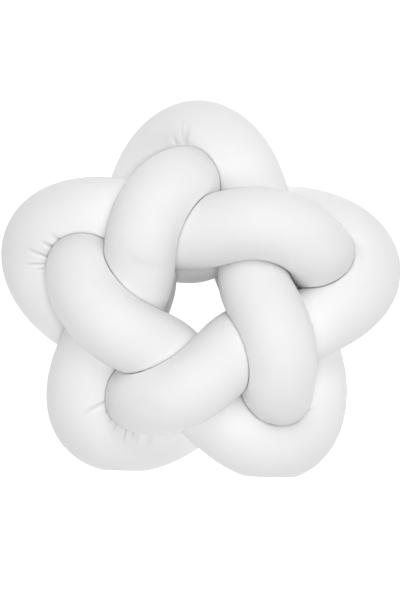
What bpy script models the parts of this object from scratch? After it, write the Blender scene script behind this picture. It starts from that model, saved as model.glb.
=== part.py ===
"""Knot cushion: one long stuffed tube of knitted cloth laid in a five-lobed interlaced knot.

The cushion lies on its back on the ground plane, its face up. Lengths are in millimetres and
bearings in degrees clockwise from the top lobe, seen from above, until the mesh is made.
"""

import math

import bmesh
import bpy
import numpy as np

MM = 0.001

# The tube
TUBE_RADIUS = 41.5        # stuffed tube where nothing presses on it
SPREAD = 0.16             # share of a squeezed ring's lost area that widens the rest of it
CREASE_ROUNDING = 12.0    # how softly a free side turns into a pressed one
PRESSED_GAP = 2.2         # left between two pressed turns of the tube
OWN_REACH = 100.0         # nearer along the tube than this, two places don't press on each other

# How finely the tube is drawn
RINGS = 270
SIDES = 18
PRESS_POINTS = 900        # places along the middle line that press on the rings
FINE_STEPS = 6000         # steps used to measure along the middle line

# The regular knot: five equal runs, each from one lobe over the face to a tip and back to the
# next lobe. Every size is a wave along the run, 0 at the lobe and a half at the tip.
LOBES = 5
RUN_TURN = 288.0                               # bearing from one lobe of the tube to the next
OUT_MEAN = 127.7
OUT_WAVES = (17.4, 47.4, 15.1, -4.9)           # cosine waves of the distance from the middle
TURN_WAVES = (12.4, -15.9, 2.3)                # sine waves of the bearing
LIFT_WAVES = (69.5, -22.6, 4.9, 11.0)          # sine waves of the height over the middle plane

# What the hand-laid knot does differently at the four places of each run
#    lobe           strand over    tip            tail behind
#                   the face
#    out   turn     out   turn     out   turn     out   turn
FOLDS = (
    ( -5.5, -1.3,    -5.1,  4.1,     8.2, -5.2,     1.2,  0.3),  # top lobe to the lower right tip
    (  1.0,  0.6,     0.7, -3.4,    15.7, -0.7,     1.5, -6.1),  # left lobe to the right tip
    ( -4.3,  1.6,     0.4, -5.2,    -3.8, -4.7,    -1.9, -5.2),  # lower left lobe to the top tip
    (  0.5,  2.1,     3.1, -5.5,     1.6, -1.2,    -8.8, -2.5),  # lower right lobe to the left tip
    (  1.9,  5.7,     1.1, -3.7,    -6.4, -4.5,    -1.5, -3.4),  # right lobe to the lower left tip
)
PLACES = 4                # places in a run, a quarter of it apart

# Where the soft cushion has flattened
BACK_DEPTH = -123.0       # the plane it lies on, under the knot's middle plane
FEET_REACH = 209.2        # the plane its two lower lobes have stood on, from the knot's middle
FEET_LEAN = 2.0           # degrees by which that plane rises to the left

CLOTH_COLOUR = (0.83, 0.83, 0.82, 1.0)
CLOTH_ROUGHNESS = 0.9


def clear_scene():
    """Start from an empty file."""
    for obj in list(bpy.data.objects):
        bpy.data.objects.remove(obj, do_unlink=True)


def waves(run, sizes, shape):
    """Add up waves that go once, twice, three times ... along a run."""
    total = np.zeros_like(run)
    for count, size in enumerate(sizes, start=1):
        total += size * shape(2.0 * math.pi * count * run)
    return total


def fold_offsets(run):
    """Blend the fold table along the tube, each place fading out over a quarter of a run."""
    table = np.array(FOLDS, float).reshape(LOBES * PLACES, 2)
    place = np.arange(LOBES * PLACES) / PLACES
    away = (run[:, None] - place + LOBES / 2) % LOBES - LOBES / 2
    near = np.clip(np.abs(away) * PLACES, 0.0, 1.0)
    return (0.5 + 0.5 * np.cos(math.pi * near)) @ table


def middle_line(run):
    """Give the points of the tube's middle line; a run counts from 0 to 5 around the knot."""
    offset = fold_offsets(run)
    out = OUT_MEAN + waves(run, OUT_WAVES, np.cos) + offset[:, 0]
    bearing = np.radians(RUN_TURN * run + waves(run, TURN_WAVES, np.sin) + offset[:, 1])
    lift = waves(run, LIFT_WAVES, np.sin)
    return np.stack([out * np.sin(bearing), out * np.cos(bearing), lift], axis=1)


def even_stations(count):
    """Space stations evenly along the tube; give their points and the tube's whole length."""
    run = np.linspace(0.0, LOBES, FINE_STEPS + 1)
    steps = np.linalg.norm(np.diff(middle_line(run), axis=0), axis=1)
    along = np.concatenate([[0.0], np.cumsum(steps)])
    wanted = np.arange(count) * along[-1] / count
    return middle_line(np.interp(wanted, along, run)), along[-1]


def untwisted_frames(points):
    """Carry a pair of cross directions along the closed line so that the rings don't twist."""
    count = len(points)
    ahead = np.roll(points, -1, axis=0) - np.roll(points, 1, axis=0)
    ahead /= np.linalg.norm(ahead, axis=1)[:, None]
    side = np.zeros_like(points)
    current = np.cross(ahead[0], (0.0, 0.0, 1.0))
    for index in range(count + 1):
        direction = ahead[index % count]
        current = current - direction * current.dot(direction)
        current /= np.linalg.norm(current)
        if index < count:
            side[index] = current
    up = np.cross(ahead, side)
    left_over = math.atan2(current.dot(up[0]), current.dot(side[0]))
    turn = -left_over * np.arange(count)[:, None] / count
    return side * np.cos(turn) + up * np.sin(turn), up * np.cos(turn) - side * np.sin(turn)


def pressed_limits(points, length, rays):
    """Find how far each ray runs before it meets the turn of the tube that presses on it.

    Two turns share the room between their middle lines evenly, so a ray ends where the other
    middle line is as far off as its own, less the gap.
    """
    pressing, _ = even_stations(PRESS_POINTS)
    own = np.arange(len(points)) * length / len(points)
    other = np.arange(PRESS_POINTS) * length / PRESS_POINTS
    apart = np.abs(own[:, None] - other)
    apart = np.minimum(apart, length - apart)
    limits = np.full(rays.shape[:2], np.inf)
    for index, ring_rays in enumerate(rays):
        away = pressing[apart[index] > OWN_REACH] - points[index]
        square = (away ** 2).sum(axis=1)
        facing = ring_rays @ away.T + PRESSED_GAP
        reach = (square - PRESSED_GAP ** 2) / (2.0 * np.maximum(facing, 1.0))
        limits[index] = np.where(facing > 1.0, reach, np.inf).min(axis=1)
    return limits


def soft_least(free, pressed):
    """Take the lesser of two lengths and round the corner where they cross."""
    near = np.clip(1.0 - np.abs(free - pressed) / CREASE_ROUNDING, 0.0, 1.0)
    return np.minimum(free, pressed) - near ** 2 * CREASE_ROUNDING / 4.0


def smoothed_around(values, passes):
    """Even a closed row of values out along the tube."""
    for _ in range(passes):
        values = 0.5 * values + 0.25 * (np.roll(values, 1) + np.roll(values, -1))
    return values


def tube_points():
    """Give the skin's points as rings by sides, flattened on the back and on the two feet."""
    points, length = even_stations(RINGS)
    side, up = untwisted_frames(points)
    angle = np.arange(SIDES) * 2.0 * math.pi / SIDES
    rays = side[:, None] * np.cos(angle)[:, None] + up[:, None] * np.sin(angle)[:, None]
    limits = pressed_limits(points, length, rays)
    free = np.full(RINGS, TUBE_RADIUS)
    kept = (soft_least(TUBE_RADIUS, limits) ** 2).mean(axis=1) / TUBE_RADIUS ** 2
    free = free * (1.0 + SPREAD * smoothed_around(1.0 - kept, 12))
    skin = points[:, None] + rays * soft_least(free[:, None], limits)[..., None]
    skin[..., 2] = np.maximum(skin[..., 2], BACK_DEPTH)
    lean = math.radians(FEET_LEAN)
    outward = np.array([-math.sin(lean), -math.cos(lean), 0.0])
    past = np.maximum(skin @ outward - FEET_REACH, 0.0)
    return skin - past[..., None] * outward


def cloth_material():
    """Make the white knitted cloth."""
    material = bpy.data.materials.new("white_jersey")
    material.use_nodes = True
    shader = material.node_tree.nodes["Principled BSDF"]
    shader.inputs["Base Color"].default_value = CLOTH_COLOUR
    shader.inputs["Roughness"].default_value = CLOTH_ROUGHNESS
    return material


def build_tube(collection):
    """Loft the tube through its rings and join the last ring to the first."""
    skin = tube_points()
    low = skin.min(axis=(0, 1))
    high = skin.max(axis=(0, 1))
    origin = np.array([(low[0] + high[0]) / 2.0, (low[1] + high[1]) / 2.0, low[2]])
    skin = (skin - origin) * MM
    body = bmesh.new()
    rings = [[body.verts.new(point) for point in ring] for ring in skin]
    for index, ring in enumerate(rings):
        following = rings[(index + 1) % RINGS]
        for corner in range(SIDES):
            after = (corner + 1) % SIDES
            body.faces.new((ring[corner], ring[after], following[after], following[corner]))
    bmesh.ops.recalc_face_normals(body, faces=body.faces)
    mesh = bpy.data.meshes.new("knot_tube")
    body.to_mesh(mesh)
    body.free()
    mesh.shade_smooth()
    mesh.materials.append(cloth_material())
    tube = bpy.data.objects.new("knot_tube", mesh)
    collection.objects.link(tube)
    return tube


def main():
    """Build the cushion in a collection of its own."""
    clear_scene()
    collection = bpy.data.collections.new("knot_cushion")
    bpy.context.scene.collection.children.link(collection)
    build_tube(collection)


main()
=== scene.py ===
"""Knot cushion: the dressed model of one stuffed jersey tube laid in a five-lobed interlaced knot.

The cushion lies on its back in the frame's own place, its face up. Lengths are in millimetres and
bearings in degrees clockwise from the top lobe, seen from above, until a mesh is made.
"""

import logging
import math
from dataclasses import dataclass, field
from enum import Enum

import bpy
import numpy as np
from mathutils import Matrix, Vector


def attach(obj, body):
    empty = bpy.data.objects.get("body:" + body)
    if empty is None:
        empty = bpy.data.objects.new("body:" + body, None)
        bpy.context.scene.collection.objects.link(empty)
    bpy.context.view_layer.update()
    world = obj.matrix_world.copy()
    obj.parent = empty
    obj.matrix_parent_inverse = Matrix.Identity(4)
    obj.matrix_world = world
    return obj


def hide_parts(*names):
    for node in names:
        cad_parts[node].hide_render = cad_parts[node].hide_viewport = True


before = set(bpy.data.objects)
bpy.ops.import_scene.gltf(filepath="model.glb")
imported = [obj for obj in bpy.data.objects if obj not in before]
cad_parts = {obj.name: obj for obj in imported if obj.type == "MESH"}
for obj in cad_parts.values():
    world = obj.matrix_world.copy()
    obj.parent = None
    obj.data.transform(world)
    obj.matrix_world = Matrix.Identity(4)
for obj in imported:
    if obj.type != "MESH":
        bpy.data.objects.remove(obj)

LOG = logging.getLogger("knot_cushion")
MM = 0.001
TUBE_NODE = "knot_tube"
PAINTED_CREASE_SHADE = "painted_crease_shade"   # the mesh's point attribute that says how much painted shade a crease takes, by how deep it is
FULL_CIRCLE = 360.0             # degrees

# The places of a colour Mix node's sockets
MIX_SHARE, MIX_FIRST, MIX_SECOND = 0, 6, 7
MIX_RESULT = 2


class Pull(Enum):
    """How the cloth gives along a crease: it sinks into a trough or stands in a ridge."""

    TROUGH = -1.0
    RIDGE = 1.0


def unit(vectors: np.ndarray) -> np.ndarray:
    """Scale vectors to length one.

    Args:
        vectors: Any array whose last axis holds x, y and z.

    Returns:
        The same vectors, each divided by its own length.
    """
    return vectors / np.linalg.norm(vectors, axis=-1, keepdims=True)


def linear(hex_colour: str) -> tuple[float, float, float, float]:
    """Turn an sRGB hex colour into the linear colour that a shader takes.

    A channel up to 0.04045 is divided by 12.92. Above that, 0.055 is added, the sum is divided
    by 1.055 and the result is raised to the power 2.4.

    Args:
        hex_colour: A hash and six hex digits, red first.

    Returns:
        Red, green, blue and an alpha of one.
    """
    digits = hex_colour.lstrip("#")
    channels = [int(digits[place:place + 2], 16) / 255.0 for place in (0, 2, 4)]
    red, green, blue = (c / 12.92 if c <= 0.04045 else ((c + 0.055) / 1.055) ** 2.4 for c in channels)
    return red, green, blue, 1.0


def eased(share: np.ndarray) -> np.ndarray:
    """Ease from 0 to 1: three times the square less twice the cube, held flat outside.

    Args:
        share: The place between the two ends, 0 at one and 1 at the other.

    Returns:
        The eased share.
    """
    held = np.clip(share, 0.0, 1.0)
    return held * held * (3.0 - 2.0 * held)


def signed_gap(places: np.ndarray, start: np.ndarray | float, whole: float) -> np.ndarray:
    """Find the way between places on a closed line, the short way round.

    Args:
        places: Places on the line.
        start: The place or places to measure from.
        whole: The line's full length.

    Returns:
        The way from the start to each place, between minus and plus half the line.
    """
    return (places - start + whole / 2.0) % whole - whole / 2.0


def sampled(grid: np.ndarray, ring: np.ndarray, side: np.ndarray) -> np.ndarray:
    """Read a grid that closes both ways at places between its points, by Catmull-Rom curves.

    Args:
        grid: Values, rings by sides.
        ring: Places along the first axis.
        side: Places along the second axis.

    Returns:
        The values at each ring place by each side place.
    """
    for axis, place in ((0, ring), (1, side)):
        whole = np.floor(place).astype(int)
        part = (place - whole).reshape((-1, 1) if axis == 0 else (1, -1))
        before, low, high, beyond = (
            np.take(grid, (whole + step) % grid.shape[axis], axis=axis) for step in (-1, 0, 1, 2)
        )
        slope, later = (high - before) / 2.0, (beyond - low) / 2.0
        rise = high - low
        square = 3.0 * rise - 2.0 * slope - later
        cube = slope + later - 2.0 * rise
        grid = low + part * (slope + part * (square + part * cube))
    return grid


def add_object(name: str, mesh: bpy.types.Mesh) -> bpy.types.Object:
    """Put a mesh into the scene as an object at the origin.

    Args:
        name: The object's name.
        mesh: Its mesh.

    Returns:
        The object.
    """
    made = bpy.data.objects.new(name, mesh)
    bpy.context.scene.collection.objects.link(made)
    return made


def ring_mesh(name: str, skin: np.ndarray) -> bpy.types.Mesh:
    """Put a skin that closes both ways into a mesh of quads that face outwards.

    Args:
        name: The mesh's name.
        skin: Points in millimetres, rings by sides.

    Returns:
        The mesh, in metres.
    """
    rings, sides = skin.shape[:2]
    index = np.arange(rings * sides).reshape(rings, sides)
    after = np.roll(index, -1, axis=0)
    corners = (index, after, np.roll(after, -1, axis=1), np.roll(index, -1, axis=1))
    quads = np.stack(corners, axis=2)
    mesh = bpy.data.meshes.new(name)
    mesh.vertices.add(rings * sides)
    mesh.vertices.foreach_set("co", (skin * MM).ravel())
    mesh.loops.add(quads.size)
    mesh.loops.foreach_set("vertex_index", quads.ravel())
    mesh.polygons.add(rings * sides)
    mesh.polygons.foreach_set("loop_start", np.arange(0, quads.size, len(corners)))
    mesh.update(calc_edges=True)
    mesh.shade_smooth()
    return mesh


@dataclass(frozen=True)
class Fold:
    """What the hand-laid knot does differently on one run of the tube, from lobe to tip to tail.

    Each pair is millimetres further from the middle and degrees further clockwise.
    """

    lobe: tuple[float, float]
    strand: tuple[float, float]
    tip: tuple[float, float]
    tail: tuple[float, float]


@dataclass(frozen=True)
class KnotPath:
    """The tube's middle line: five equal runs around the knot, and the folds laid by hand.

    A place on it is counted in runs, 0 at the top lobe, 0.25 on the strand over the face, 0.5 at
    the tip, 0.75 on the tail behind, 1 at the next lobe and so on round to 5.

    The waves' sizes and the folds weren't chosen by hand. A fitting program found them, to a
    tenth, from points on the cushion's outlines that were read off.
    """

    run_turn: float = 288.0                                   # bearing from a lobe to the next
    out_mean: float = 127.7                                   # distance from the knot's middle
    out_waves: tuple[float, ...] = (17.4, 47.4, 15.1, -4.9)   # cosine waves of that distance
    turn_waves: tuple[float, ...] = (12.4, -15.9, 2.3)        # sine waves of the bearing
    lift_waves: tuple[float, ...] = (69.5, -22.6, 4.9, 11.0)  # sine waves of the height
    # One for each run: from the top, left, lower left, lower right and right lobe
    folds: tuple[Fold, ...] = (
        Fold(lobe=(-5.5, -1.3), strand=(-5.1, 4.1), tip=(8.2, -5.2), tail=(1.2, 0.3)),
        Fold(lobe=(1.0, 0.6), strand=(0.7, -3.4), tip=(15.7, -0.7), tail=(1.5, -6.1)),
        Fold(lobe=(-4.3, 1.6), strand=(0.4, -5.2), tip=(-3.8, -4.7), tail=(-1.9, -5.2)),
        Fold(lobe=(0.5, 2.1), strand=(3.1, -5.5), tip=(1.6, -1.2), tail=(-8.8, -2.5)),
        Fold(lobe=(1.9, 5.7), strand=(1.1, -3.7), tip=(-6.4, -4.5), tail=(-1.5, -3.4)),
    )
    fine_steps: int = 6000         # steps used to measure along the tube
    tangent_step: float = 0.0004   # runs either side of a place, to find which way the tube goes

    @property
    def runs(self) -> int:
        """Count the runs, one to a lobe."""
        return len(self.folds)

    def waves(self, run: np.ndarray, sizes: tuple[float, ...], shape: np.ufunc) -> np.ndarray:
        """Add up waves that go once, twice, three times ... along a run.

        Args:
            run: Places along the tube, counted in runs.
            sizes: The size of each wave in turn.
            shape: The sine or the cosine.

        Returns:
            The sum of the waves at each place.
        """
        counts = np.arange(1, len(sizes) + 1)
        return shape(2.0 * math.pi * run[:, None] * counts) @ np.array(sizes)

    def offsets(self, run: np.ndarray) -> np.ndarray:
        """Blend the folds along the tube; each fades out as a raised cosine over a quarter run.

        Args:
            run: Places along the tube, counted in runs.

        Returns:
            A row for each place: millimetres further out and degrees further clockwise.
        """
        table = np.array([(f.lobe, f.strand, f.tip, f.tail) for f in self.folds])
        places = table.shape[1]
        place = np.arange(self.runs * places) / places
        near = np.clip(np.abs(signed_gap(run[:, None], place, self.runs)) * places, 0.0, 1.0)
        return (0.5 + 0.5 * np.cos(math.pi * near)) @ table.reshape(-1, 2)

    def points(self, run: np.ndarray) -> np.ndarray:
        """Place the middle line: distance out as cosines, bearing and lift as sines of the run.

        Args:
            run: Places along the tube, counted in runs.

        Returns:
            A point for each place, about the knot's own middle.
        """
        offset = self.offsets(run)
        out = self.out_mean + self.waves(run, self.out_waves, np.cos) + offset[:, 0]
        turn = self.run_turn * run + self.waves(run, self.turn_waves, np.sin) + offset[:, 1]
        bearing = np.radians(turn)
        lift = self.waves(run, self.lift_waves, np.sin)
        return np.stack([out * np.sin(bearing), out * np.cos(bearing), lift], axis=1)

    def measured(self) -> tuple[np.ndarray, np.ndarray]:
        """Measure along the tube in fine steps.

        Returns:
            The runs at the steps' ends, and the length of tube up to each.
        """
        fine = np.linspace(0.0, self.runs, self.fine_steps + 1)
        steps = np.linalg.norm(np.diff(self.points(fine), axis=0), axis=1)
        return fine, np.concatenate([[0.0], np.cumsum(steps)])

    def frames(self, run: np.ndarray) -> tuple[np.ndarray, np.ndarray]:
        """Carry two cross directions along the closed line without twist.

        Each station's side direction is the one before it, levelled square to the line; the
        turn left over where the line closes is shared out by the run.

        Args:
            run: Places along the tube, in order round the whole of it.

        Returns:
            The side and the up direction at each place.
        """
        count = len(run)
        ahead = unit(self.points(run + self.tangent_step) - self.points(run - self.tangent_step))
        side = np.zeros_like(ahead)
        current = np.cross(ahead[0], (0.0, 0.0, 1.0))
        for index in range(count + 1):
            direction = ahead[index % count]
            current = unit(current - direction * current.dot(direction))
            if index < count:
                side[index] = current
        up = np.cross(ahead, side)
        left_over = math.atan2(current.dot(up[0]), current.dot(side[0]))
        turn = -left_over * run[:, None] / self.runs
        cosine, sine = np.cos(turn), np.sin(turn)
        return side * cosine + up * sine, up * cosine - side * sine


@dataclass
class Stations:
    """Rings of rays along the tube: where each ring is, and the directions its rays go out."""

    path: KnotPath
    run: np.ndarray
    sides: int

    def __post_init__(self) -> None:
        """Place the rings and point their rays."""
        fine, along = self.path.measured()
        self.along = np.interp(self.run, fine, along)
        self.length = float(along[-1])
        self.centres = self.path.points(self.run)
        self.angle = np.arange(self.sides) * 2.0 * math.pi / self.sides
        side, up = self.path.frames(self.run)
        cosine, sine = np.cos(self.angle)[:, None], np.sin(self.angle)[:, None]
        self.rays = side[:, None] * cosine + up[:, None] * sine

    @classmethod
    def even(cls, path: KnotPath, rings: int, sides: int) -> "Stations":
        """Space rings evenly along the tube.

        Args:
            path: The tube's middle line.
            rings: How many rings.
            sides: How many rays to a ring.

        Returns:
            The stations.
        """
        fine, along = path.measured()
        return cls(path, np.interp(np.arange(rings) * along[-1] / rings, along, fine), sides)

    def skin(self, reach: np.ndarray) -> np.ndarray:
        """Give the points at a reach along each ray.

        Args:
            reach: Millimetres along each ray, rings by sides.

        Returns:
            The points about the knot's middle.
        """
        return self.centres[:, None] + self.rays * reach[..., None]


@dataclass(frozen=True)
class Press:
    """How turns of the stuffed tube press on each other and share the room between them."""

    radius: float = 41.5       # the stuffed tube where nothing presses on it
    spread: float = 0.16       # share of a squeezed ring's lost area that widens the rest of it
    rounding: float = 1.6      # how softly a free side turns into a pressed one
    gap: float = 0.5           # left between two pressed turns
    own_reach: float = 100.0   # nearer along the tube than this, two places don't press
    least_facing: float = 1.0  # a ray that faces the other turn by less never meets it
    points: int = 1800         # places along the tube that press on the rings
    block: int = 50            # rings worked out at a time
    even_rings: int = 420      # rings and sides on which the lost area is measured
    even_sides: int = 24
    evening: float = 34.0      # spread of the bell that evens the growth out along the tube

    def soft_least(self, free: np.ndarray | float, pressed: np.ndarray) -> np.ndarray:
        """Take the lesser of two lengths and round the corner where they cross.

        Args:
            free: The radius where nothing presses.
            pressed: The radius that the neighbouring turn leaves.

        Returns:
            The lesser, lowered by a parabola within the rounding.
        """
        near = np.clip(1.0 - np.abs(free - pressed) / self.rounding, 0.0, 1.0)
        return np.minimum(free, pressed) - near ** 2 * self.rounding / 4.0

    def limits(self, stations: Stations) -> np.ndarray:
        """Find how far each ray runs before it meets the turn of the tube that presses on it.

        Two turns share the room between their middle lines evenly. Along a ray, the place as
        far from the other line as from its own is half the square of the way between the two
        lines, divided by how much of that way the ray faces. To leave the gap, its square is
        taken off the first and it is added to the second.

        Args:
            stations: The rings and their rays.

        Returns:
            The pressed radius on each ray, or infinity where nothing presses.
        """
        pressing = Stations.even(stations.path, self.points, 1)
        found = []
        for start in range(0, len(stations.run), self.block):
            part = slice(start, start + self.block)
            away = pressing.centres[None] - stations.centres[part, None]
            apart = signed_gap(pressing.along[None], stations.along[part, None], stations.length)
            square = (away ** 2).sum(axis=2) - self.gap ** 2
            facing = stations.rays[part] @ away.transpose(0, 2, 1) + self.gap
            reach = square[:, None] / (2.0 * np.maximum(facing, self.least_facing))
            meets = (facing > self.least_facing) & (np.abs(apart) > self.own_reach)[:, None]
            found.append(np.where(meets, reach, np.inf).min(axis=2))
        return np.concatenate(found)

    def free_radius(self, stations: Stations) -> np.ndarray:
        """Let each squeezed ring grow where it is free, by a share of the area it loses.

        The loss is taken on an even set of rings and evened out along the tube by a bell.

        Args:
            stations: The rings.

        Returns:
            The free radius of each ring, as a column.
        """
        even = Stations.even(stations.path, self.even_rings, self.even_sides)
        reach = self.soft_least(self.radius, self.limits(even))
        lost = 1.0 - (reach ** 2).mean(axis=1) / self.radius ** 2
        waves = np.fft.rfftfreq(self.even_rings, d=even.length / self.even_rings)
        bell = np.exp(-2.0 * (math.pi * waves * self.evening) ** 2)
        evened = np.fft.irfft(np.fft.rfft(lost) * bell, self.even_rings)
        grown = np.interp(stations.along, even.along, evened, period=even.length)
        return self.radius * (1.0 + self.spread * grown[:, None])


@dataclass(frozen=True)
class Stuffing:
    """The loose fibre that swells the jersey: a cloth pass on a coarser tube, kept to a cap.

    The cloth's own values are in the simulation's units.
    """

    rings: int = 420
    sides: int = 36
    start_share: float = 0.975    # of the finished radius, where the cloth starts
    pressure: float = 4.0
    frames: int = 20
    mass: float = 0.3
    stiffness: float = 80.0
    shear_stiffness: float = 40.0
    bending: float = 2.0
    damping: float = 25.0
    air_damping: float = 8.0
    cap: float = 5.0              # furthest that a place may move out or in
    kept_share: float = 0.25      # of the capped movement; with more the tube looks dented
    shortest_wave: float = 26.0   # shorter ones are taken out

    def settled(self, skin: np.ndarray) -> np.ndarray:
        """Let the cloth settle under the pressure of the fibre inside it.

        Args:
            skin: Points in millimetres, rings by sides.

        Returns:
            The same points after the last frame.
        """
        pad = add_object("cloth_pass", ring_mesh("cloth_pass", skin))
        cloth = pad.modifiers.new("jersey", "CLOTH")
        jersey = cloth.settings
        jersey.mass = self.mass
        jersey.tension_stiffness = jersey.compression_stiffness = self.stiffness
        jersey.shear_stiffness = self.shear_stiffness
        jersey.bending_stiffness = self.bending
        jersey.tension_damping = jersey.compression_damping = jersey.shear_damping = self.damping
        jersey.air_damping = self.air_damping
        jersey.use_pressure = True
        jersey.uniform_pressure_force = self.pressure
        jersey.effector_weights.gravity = 0.0
        cloth.collision_settings.use_collision = False   # the press keeps the turns apart
        cloth.point_cache.frame_start = 1
        cloth.point_cache.frame_end = self.frames
        for number in range(1, self.frames + 1):
            bpy.context.scene.frame_set(number)
        moved = np.empty(skin.size)
        evaluated = pad.evaluated_get(bpy.context.evaluated_depsgraph_get())
        evaluated.data.vertices.foreach_get("co", moved)
        bpy.data.objects.remove(pad, do_unlink=True)
        bpy.context.scene.frame_set(1)
        return moved.reshape(skin.shape) / MM

    def softened(self, offsets: np.ndarray, length: float, girth: float) -> np.ndarray:
        """Take out the waves that are shorter than the cloth makes, cut off by a bell.

        Args:
            offsets: Millimetres on each ray, rings by sides.
            length: The tube's whole length.
            girth: The tube's girth.

        Returns:
            The offsets without their short waves.
        """
        along = np.fft.fftfreq(self.rings, d=length / self.rings)[:, None]
        around = np.fft.rfftfreq(self.sides, d=girth / self.sides)
        bell = np.exp(-((along ** 2 + around ** 2) * self.shortest_wave ** 2) / 2.0)
        return np.fft.irfft2(np.fft.rfft2(offsets) * bell, offsets.shape)

    def swelling(self, stations: Stations, press: Press) -> np.ndarray:
        """Find how far the fibre pushes each ray out or lets it in, against the middle one.

        Args:
            stations: The rings of the finished tube.
            press: How its turns press on each other.

        Returns:
            Millimetres on each ray of the finished tube.
        """
        coarse = Stations.even(stations.path, self.rings, self.sides)
        reach = press.soft_least(press.free_radius(coarse), press.limits(coarse))
        skin = coarse.skin(reach * self.start_share)
        outward = ((self.settled(skin) - skin) * coarse.rays).sum(axis=2)
        capped = np.clip(outward - np.median(outward), -self.cap, self.cap)
        girth = 2.0 * math.pi * press.radius
        evened = self.softened(capped, coarse.length, girth) * self.kept_share
        ring = stations.along / stations.length * self.rings
        side = stations.angle / (2.0 * math.pi) * self.sides
        return sampled(evened, ring, side)


@dataclass(frozen=True)
class CreaseForm:
    """What all creases have alike, in shares of a crease's own length and depth."""

    sinks_from: float = -0.15   # where it starts to sink, a little before its start
    sinks_over: float = 0.25
    fades_from: float = 0.35
    fades_over: float = 0.85
    shoulder: float = 0.45      # how strongly the cloth beside it turns the other way


@dataclass(frozen=True)
class Crease:
    """One trough or ridge in the cloth, straight on the cloth between two places.

    A place is a run along the tube and degrees around it. The crease is deepest near its start
    and fades out towards its end; across, it is a bell with a low shoulder on each side.
    """

    start: tuple[float, float]
    end: tuple[float, float]
    depth: float
    width: float   # the bell's spread to each side
    pull: Pull = Pull.TROUGH
    form: CreaseForm = CreaseForm()

    def offsets(self, stations: Stations, radius: float) -> np.ndarray:
        """Work the crease out: its fade along its line times its bell across it.

        Args:
            stations: The rings and their rays.
            radius: The tube's radius, for lengths around it.

        Returns:
            Millimetres on each ray.
        """
        runs, form = stations.path.runs, self.form
        per_run = stations.length / runs
        turned = signed_gap(np.degrees(stations.angle), self.start[1], FULL_CIRCLE)
        along = signed_gap(stations.run, self.start[0], runs)[:, None] * per_run
        around = np.radians(turned) * radius
        way_turned = signed_gap(np.array(self.end[1]), self.start[1], FULL_CIRCLE)
        way_along = signed_gap(np.array(self.end[0]), self.start[0], runs) * per_run
        way_around = math.radians(way_turned) * radius
        size = math.hypot(way_along, way_around)
        share = (along * way_along + around * way_around) / size ** 2
        aside = (along * way_around - around * way_along) / (size * self.width)
        sunk = eased((share - form.sinks_from) / form.sinks_over)
        faded = eased((share - form.fades_from) / form.fades_over)
        bell = (1.0 - form.shoulder * aside ** 2) * np.exp(-(aside ** 2) / 2.0)
        return self.pull.value * self.depth * sunk * (1.0 - faded) * bell


# Where the tips draw the cloth of the lobes in under them. The places were picked, and a
# program turned most of them into runs and degrees; depths and widths were chosen one by one.
LEFT_LOBE = (
    Crease((1.0560, 13.1), (1.0504, 350.6), depth=1.5, width=2.2),
    Crease((1.0419, 20.6), (1.0346, 350.6), depth=1.7, width=2.2),
    Crease((1.0201, 24.4), (1.0158, 341.2), depth=2.0, width=2.6),
    Crease((1.0028, 22.5), (0.9942, 346.9), depth=1.8, width=2.2),
    Crease((0.9927, 22.5), (0.9870, 9.4), depth=1.4, width=2.2),
    Crease((1.0490, 15.0), (1.0404, 354.4), depth=0.9, width=2.8, pull=Pull.RIDGE),
    Crease((1.0332, 18.8), (1.0317, 3.7), depth=0.9, width=3.2, pull=Pull.RIDGE),
    Crease((1.0143, 20.6), (1.0158, 5.0), depth=0.7, width=2.6, pull=Pull.RIDGE),
)
TOP_LOBE = (
    Crease((0.0216, 288.8), (0.0188, 256.9), depth=1.6, width=2.6),
    Crease((0.0174, 286.9), (0.0087, 249.4), depth=1.0, width=2.0),
    Crease((0.0029, 290.6), (0.0000, 277.0), depth=1.0, width=2.4),
    Crease((4.9898, 288.8), (4.9898, 268.0), depth=0.9, width=5.0, pull=Pull.RIDGE),
)
LOWER_LEFT_LOBE = (
    Crease((2.0625, 91.9), (2.0522, 50.6), depth=1.7, width=2.4),
    Crease((2.0492, 103.1), (2.0447, 88.0), depth=1.3, width=2.0),
    Crease((2.0326, 110.6), (2.0281, 90.0), depth=1.7, width=2.0),
    Crease((2.0131, 110.6), (2.0086, 86.0), depth=1.7, width=2.0),
    Crease((1.9840, 108.8), (1.9798, 82.0), depth=2.8, width=2.2),
    Crease((1.9647, 105.0), (1.9620, 86.0), depth=1.5, width=3.0),
    Crease((1.9540, 99.4), (1.9553, 80.0), depth=1.2, width=3.2),
    Crease((1.9325, 91.9), (1.9387, 73.0), depth=1.0, width=4.0),
)
LOWER_RIGHT_LOBE = (
    Crease((2.9773, 163.1), (2.9612, 146.2), depth=1.1, width=2.4),
    Crease((3.0172, 166.9), (3.0099, 151.9), depth=0.9, width=2.4),
)
RIGHT_LOBE = (
    Crease((3.9912, 225.0), (4.0366, 211.9), depth=0.9, width=5.0),
)
# Soft hollows in the strands over the face
STRANDS = (
    Crease((2.2862, 52.5), (2.2765, 125.6), depth=0.6, width=5.0),
    Crease((4.3664, 214.7), (4.3484, 173.5), depth=0.35, width=5.5),
)
CREASES = LEFT_LOBE + TOP_LOBE + LOWER_LEFT_LOBE + LOWER_RIGHT_LOBE + RIGHT_LOBE + STRANDS


def add_node(tree: bpy.types.NodeTree, kind: str, settings: dict[str, object],
             inputs: dict[str | int, object]) -> bpy.types.Node:
    """Add a node with its settings, and give each input a value or link it to an output.

    Args:
        tree: The material's node tree.
        kind: The node's type name.
        settings: The node's attributes by name.
        inputs: Values or output sockets, by the input's name or place.

    Returns:
        The new node.
    """
    node = tree.nodes.new(kind)
    for name, value in settings.items():
        setattr(node, name, value)
    for socket, value in inputs.items():
        if isinstance(value, bpy.types.NodeSocket):
            tree.links.new(value, node.inputs[socket])
        else:
            node.inputs[socket].default_value = value
    return node


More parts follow.
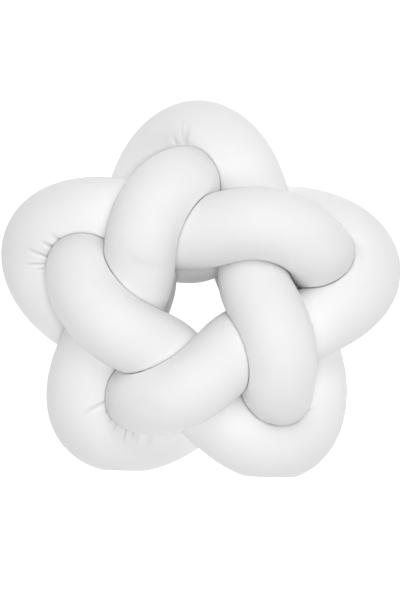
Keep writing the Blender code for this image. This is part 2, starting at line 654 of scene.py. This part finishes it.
@dataclass(frozen=True)
class WhiteJersey:
    """Cotton jersey, knitted fine and close on a circular machine, and left matt.

    The loops scatter light every way, so the cloth reads as a soft white with no gloss; its wales
    run along the tube, and it is a little greyer in random patches where the loops open. Its colour
    also carries painted shade: darker in the hollows between the wales and in the bottom of the
    creases.
    """

    pale: str = "#f2f2f2"            # where the loops lie close
    mottle_and_painted_shade: str = "#ebebeb"           # where they open, and painted shade in the hollows between the wales
    painted_shade: str = "#d3d3d3"           # painted shade in the bottom of a crease, stronger as the crease is deeper
    painted_shade_depth: float = 3.0         # depth of a crease whose bottom takes that painted shade in full
    roughness: float = 0.9
    specular: float = 0.15
    sheen: float = 0.1               # the fine nap's pale edge
    sheen_roughness: float = 0.5
    wale: float = 1.6                # between wales; about 0.8 on real jersey, too fine to show
    course: float = 1.3              # between courses; about 0.6 on real jersey, too fine to show
    stitch_height: float = 0.08
    stitch_slant: float = 0.25       # how far the slanting wave swings, as a share of the height
    painted_stitch_shade: float = 0.15   # painted shade: how much of the colour goes by the stitch's height, greyer between the wales ...
    mottle_lightness: float = 0.9    # ... and how much by the cloudy patches where loops open
    mottle: float = 45.0             # size of those patches
    mottle_detail: float = 3.0
    mottle_roughness: float = 0.55

    def stitches(self, length: float, girth: float) -> tuple[int, int]:
        """Count the courses along the tube and the wales around it, in whole stitches.

        Args:
            length: The tube's whole length.
            girth: The tube's girth.

        Returns:
            The courses and the wales.
        """
        return round(length / self.course), round(girth / self.wale)

    def material(self) -> bpy.types.Material:
        """Make the cloth: V-shaped stitches on the piece's own UV map, which counts stitches.

        Across a wale the height is one less four times the square of the way from its middle.
        That is multiplied by a sine wave along the wale, which slants back from the middle to
        both sides and so makes the V.

        Returns:
            The material.
        """
        material = bpy.data.materials.new("white_cotton_jersey_knitted")
        material.use_nodes = True
        tree = material.node_tree
        shader = tree.nodes["Principled BSDF"]
        shader.inputs["Roughness"].default_value = self.roughness
        shader.inputs["Specular IOR Level"].default_value = self.specular
        shader.inputs["Sheen Weight"].default_value = self.sheen
        shader.inputs["Sheen Roughness"].default_value = self.sheen_roughness

        def maths(operation: str, *terms: object) -> bpy.types.NodeSocket:
            """Add one sum of its terms and give its output."""
            settings = {"operation": operation}
            return add_node(tree, "ShaderNodeMath", settings, dict(enumerate(terms))).outputs[0]

        place = add_node(tree, "ShaderNodeTexCoord", {}, {})
        stitch = add_node(tree, "ShaderNodeSeparateXYZ", {}, {0: place.outputs["UV"]})
        aside = maths("ABSOLUTE", maths("SUBTRACT", maths("FRACT", stitch.outputs["Y"]), 0.5))
        bead = maths("MULTIPLY_ADD", maths("MULTIPLY", aside, aside), -4.0, 1.0)
        slant = maths("MULTIPLY", maths("ADD", stitch.outputs["X"], aside), 2.0 * math.pi)
        loop = maths("MULTIPLY_ADD", maths("SINE", slant), self.stitch_slant, 1.0 - self.stitch_slant)
        height = maths("MULTIPLY", bead, loop)
        bump = add_node(tree, "ShaderNodeBump", {}, {
            "Strength": 1.0, "Distance": self.stitch_height * MM, "Height": height,
        })
        cloud = add_node(tree, "ShaderNodeTexNoise", {}, {
            "Vector": place.outputs["Object"], "Scale": 1.0 / (self.mottle * MM),
            "Detail": self.mottle_detail, "Roughness": self.mottle_roughness,
        })
        patches = maths("MULTIPLY", cloud.outputs[0], self.mottle_lightness)
        # Painted shade between the wales: paler on a stitch's crown, greyer in the hollow beside it,
        # added to the random patches
        lightness = maths("MULTIPLY_ADD", height, self.painted_stitch_shade, patches)
        colour = add_node(tree, "ShaderNodeMix", {"data_type": "RGBA"}, {
            MIX_SHARE: lightness, MIX_FIRST: linear(self.mottle_and_painted_shade), MIX_SECOND: linear(self.pale),
        })
        # Painted shade in the creases: the colour is darkened towards the crease colour by how deep
        # the crease is
        crease = add_node(tree, "ShaderNodeAttribute", {"attribute_name": PAINTED_CREASE_SHADE}, {})
        with_painted_shade = add_node(tree, "ShaderNodeMix", {"data_type": "RGBA"}, {
            MIX_SHARE: crease.outputs["Fac"], MIX_FIRST: colour.outputs[MIX_RESULT],
            MIX_SECOND: linear(self.painted_shade),
        })
        tree.links.new(with_painted_shade.outputs[MIX_RESULT], shader.inputs["Base Color"])
        tree.links.new(bump.outputs["Normal"], shader.inputs["Normal"])
        return material


@dataclass
class KnotCushion:
    """The whole cushion: the stuffed tube, its creases, where it has flattened and its cloth."""

    path: KnotPath = field(default_factory=KnotPath)
    press: Press = field(default_factory=Press)
    stuffing: Stuffing = field(default_factory=Stuffing)
    jersey: WhiteJersey = field(default_factory=WhiteJersey)
    rings: int = 1700
    sides: int = 120
    gathered_share: float = 2.0      # extra closeness of the rings at a crease; 2 is three times
    gathered_reach: float = 0.05     # runs over which that fades out on each side
    gathered_core: float = 0.5       # share of that reach, nearer the crease, before it fades
    box_middle: tuple[float, float] = (2.9, 13.18)   # the CAD box's, from the knot's own middle
    back_depth: float = -123.0       # the plane it lies on, under the knot's middle plane
    feet_reach: float = 209.2        # the plane its two lower lobes have stood on
    feet_lean: float = 2.0           # degrees by which that plane rises to the left
    creases: tuple[Crease, ...] = CREASES

    def stations(self) -> Stations:
        """Space the rings along the tube, closer together where the cloth is creased.

        Returns:
            The rings and their rays.
        """
        runs = self.path.runs
        fine, along = self.path.measured()
        closeness = np.ones_like(fine)
        for crease in self.creases:
            first, last = crease.start[0], crease.end[0]
            middle = first + signed_gap(np.array(last), first, runs) / 2.0
            near = np.abs(signed_gap(fine, middle, runs)) / self.gathered_reach
            gathered = 1.0 - eased(near - self.gathered_core)
            closeness = np.maximum(closeness, 1.0 + self.gathered_share * gathered)
        steps = np.diff(along) * (closeness[1:] + closeness[:-1])
        crowded = np.concatenate([[0.0], np.cumsum(steps)])
        wanted = np.arange(self.rings) * crowded[-1] / self.rings
        return Stations(self.path, np.interp(wanted, crowded, fine), self.sides)

    def creased(self, stations: Stations) -> np.ndarray:
        """Add up all the creases.

        Args:
            stations: The rings and their rays.

        Returns:
            Millimetres on each ray, below nought in a trough.
        """
        return sum(crease.offsets(stations, self.press.radius) for crease in self.creases)

    def skin(self, stations: Stations, creased: np.ndarray) -> np.ndarray:
        """Work out the stuffed, pressed and creased skin.

        Args:
            stations: The rings and their rays.
            creased: Millimetres that the creases add on each ray.

        Returns:
            The points about the knot's middle, rings by sides.
        """
        limits = self.press.limits(stations)
        free = self.press.free_radius(stations) + self.stuffing.swelling(stations, self.press)
        reach = self.press.soft_least(free, limits) + creased
        return stations.skin(np.minimum(reach, limits))

    def flattened(self, skin: np.ndarray) -> np.ndarray:
        """Press the skin flat on the plane it lies on and on the plane its two feet stood on.

        Args:
            skin: Points about the knot's middle.

        Returns:
            The points, none of them past either plane.
        """
        skin = skin.copy()
        skin[..., 2] = np.maximum(skin[..., 2], self.back_depth)
        lean = math.radians(self.feet_lean)
        outward = np.array([-math.sin(lean), -math.cos(lean), 0.0])
        past = np.maximum(skin @ outward - self.feet_reach, 0.0)
        return skin - past[..., None] * outward

    def stitched(self, mesh: bpy.types.Mesh, stations: Stations) -> None:
        """Give the mesh a UV map that counts courses along the tube and wales around it.

        Args:
            mesh: The mesh of the finished skin.
            stations: Its rings and rays.
        """
        courses, wales = self.jersey.stitches(stations.length, 2.0 * math.pi * self.press.radius)
        along = np.append(stations.along / stations.length, 1.0) * courses
        around = np.arange(self.sides + 1) * wales / self.sides
        corner = np.empty((self.rings, self.sides, 4, 2))
        for number, (ring, side) in enumerate(((0, 0), (1, 0), (1, 1), (0, 1))):
            corner[:, :, number, 0] = along[ring:ring + self.rings, None]
            corner[:, :, number, 1] = around[side:side + self.sides]
        mesh.uv_layers.new(name="stitches").data.foreach_set("uv", corner.ravel())

    def build(self) -> bpy.types.Object:
        """Build the cushion, dress it and join it to the frame.

        Returns:
            The finished piece.
        """
        stations = self.stations()
        creased = self.creased(stations)
        middle = np.array([*self.box_middle, self.back_depth])
        mesh = ring_mesh("knot_cushion", self.flattened(self.skin(stations, creased)) - middle)
        self.stitched(mesh, stations)
        # Painted shade: each point's share of the crease colour, by the depth of its trough
        painted_shade = np.clip(-creased / self.jersey.painted_shade_depth, 0.0, 1.0)
        mesh.attributes.new(PAINTED_CREASE_SHADE, "FLOAT", "POINT").data.foreach_set("value", painted_shade.ravel())
        mesh.materials.append(self.jersey.material())
        cushion = add_object("knot_cushion", mesh)
        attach(cushion, "root")
        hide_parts(TUBE_NODE)
        return cushion


@dataclass(frozen=True)
class OpalAcrylic:
    """Light-table sheet of opal acrylic, cast and lit evenly from below.

    The glow makes the ground read as an even white, through the knot's open middle too, and
    leaves only faint shadows on it.
    """

    tint: str = "#fafafa"
    cloudy: str = "#f8f8f8"          # where the cast opal is a little denser
    clouds_per_metre: float = 3.0
    roughness: float = 0.7
    specular: float = 0.1
    glow: float = 0.55               # strength of the light from below it

    def material(self) -> bpy.types.Material:
        """Make the sheet, with the slight cloudiness of the cast opal.

        Returns:
            The material.
        """
        material = bpy.data.materials.new("white_opal_acrylic_cast")
        material.use_nodes = True
        tree = material.node_tree
        shader = tree.nodes["Principled BSDF"]
        shader.inputs["Roughness"].default_value = self.roughness
        shader.inputs["Specular IOR Level"].default_value = self.specular
        shader.inputs["Emission Color"].default_value = (1.0, 1.0, 1.0, 1.0)
        shader.inputs["Emission Strength"].default_value = self.glow
        place = add_node(tree, "ShaderNodeTexCoord", {}, {})
        cloud = add_node(tree, "ShaderNodeTexNoise", {}, {
            "Vector": place.outputs["Object"], "Scale": self.clouds_per_metre,
        })
        colour = add_node(tree, "ShaderNodeMix", {"data_type": "RGBA"}, {
            MIX_SHARE: cloud.outputs[0], MIX_FIRST: linear(self.cloudy), MIX_SECOND: linear(self.tint),
        })
        tree.links.new(colour.outputs[MIX_RESULT], shader.inputs["Base Color"])
        return material


@dataclass(frozen=True)
class SoftLight:
    """A square soft light that faces the cushion; its size, place and aim are in metres."""

    name: str
    size: float
    watts: float
    place: tuple[float, float, float]
    aim: tuple[float, float, float] = (0.0, 0.0, 0.12)

    def build(self) -> None:
        """Add the light to the scene."""
        data = bpy.data.lights.new(self.name, "AREA")
        data.size = self.size
        data.energy = self.watts
        light = bpy.data.objects.new(self.name, data)
        light.location = self.place
        away = Vector(self.aim) - Vector(self.place)
        light.rotation_euler = away.to_track_quat("-Z", "Y").to_euler()
        bpy.context.scene.collection.objects.link(light)


@dataclass(frozen=True)
class Studio:
    """The plain pale floor, the soft lights and the camera over the cushion's face."""

    camera_distance: float = 2600.0
    camera_tilt: float = 2.5         # degrees off the face's normal, towards the feet
    look_at: tuple[float, float, float] = (0.3, -15.3, 123.0)
    pixel: float = 1.2               # what one pixel of the picture spans at the point looked at
    long_side: int = 601             # pixels along the picture's longer side
    sensor: float = 36.0
    sight: float = 50.0              # metres that the camera sees
    floor_half: float = 6.0          # metres from the floor's middle to its edge
    surround: float = 0.29           # strength of the even light from all round
    sheet: OpalAcrylic = field(default_factory=OpalAcrylic)
    lights: tuple[SoftLight, ...] = (
        SoftLight("above", size=1.6, watts=19.5, place=(0.35, 1.3, 2.2)),
        SoftLight("below", size=0.9, watts=12.0, place=(0.0, -1.2, 2.4)),
        SoftLight("beside_camera", size=0.4, watts=25.0, place=(0.1, -0.2, 2.9)),
    )

    def camera(self) -> None:
        """Set the camera: it stands off the face, a little towards the feet."""
        data = bpy.data.cameras.new("camera")
        data.sensor_width = self.sensor
        data.lens = self.sensor * self.camera_distance / (self.pixel * self.long_side)
        data.clip_end = self.sight
        camera = bpy.data.objects.new("camera", data)
        tilt = math.radians(self.camera_tilt)
        back = Vector((0.0, -math.sin(tilt), math.cos(tilt)))
        camera.location = (Vector(self.look_at) + back * self.camera_distance) * MM
        camera.rotation_euler = (tilt, 0.0, 0.0)
        bpy.context.scene.collection.objects.link(camera)
        bpy.context.scene.camera = camera

    def floor(self) -> None:
        """Lay the plain pale floor under the cushion."""
        half = self.floor_half
        mesh = bpy.data.meshes.new("floor")
        corners = [(-half, -half, 0.0), (half, -half, 0.0), (half, half, 0.0), (-half, half, 0.0)]
        mesh.from_pydata(corners, [], [(0, 1, 2, 3)])
        mesh.materials.append(self.sheet.material())
        add_object("floor", mesh)

    def build(self) -> None:
        """Set the camera, the floor, the lights and the even surrounding light."""
        self.camera()
        self.floor()
        for light in self.lights:
            light.build()
        world = bpy.data.worlds.new("studio")
        world.use_nodes = True
        surround = world.node_tree.nodes["Background"]
        surround.inputs["Color"].default_value = (1.0, 1.0, 1.0, 1.0)
        surround.inputs["Strength"].default_value = self.surround
        bpy.context.scene.world = world
        bpy.context.scene.view_settings.view_transform = "Standard"


def main() -> None:
    """Build the studio and the cushion, and report each."""
    logging.basicConfig(level=logging.INFO)
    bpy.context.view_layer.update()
    Studio().build()
    LOG.info("studio set")
    cushion = KnotCushion().build()
    LOG.info("%s: %d faces", cushion.name, len(cushion.data.polygons))


if __name__ == "__main__":
    main()
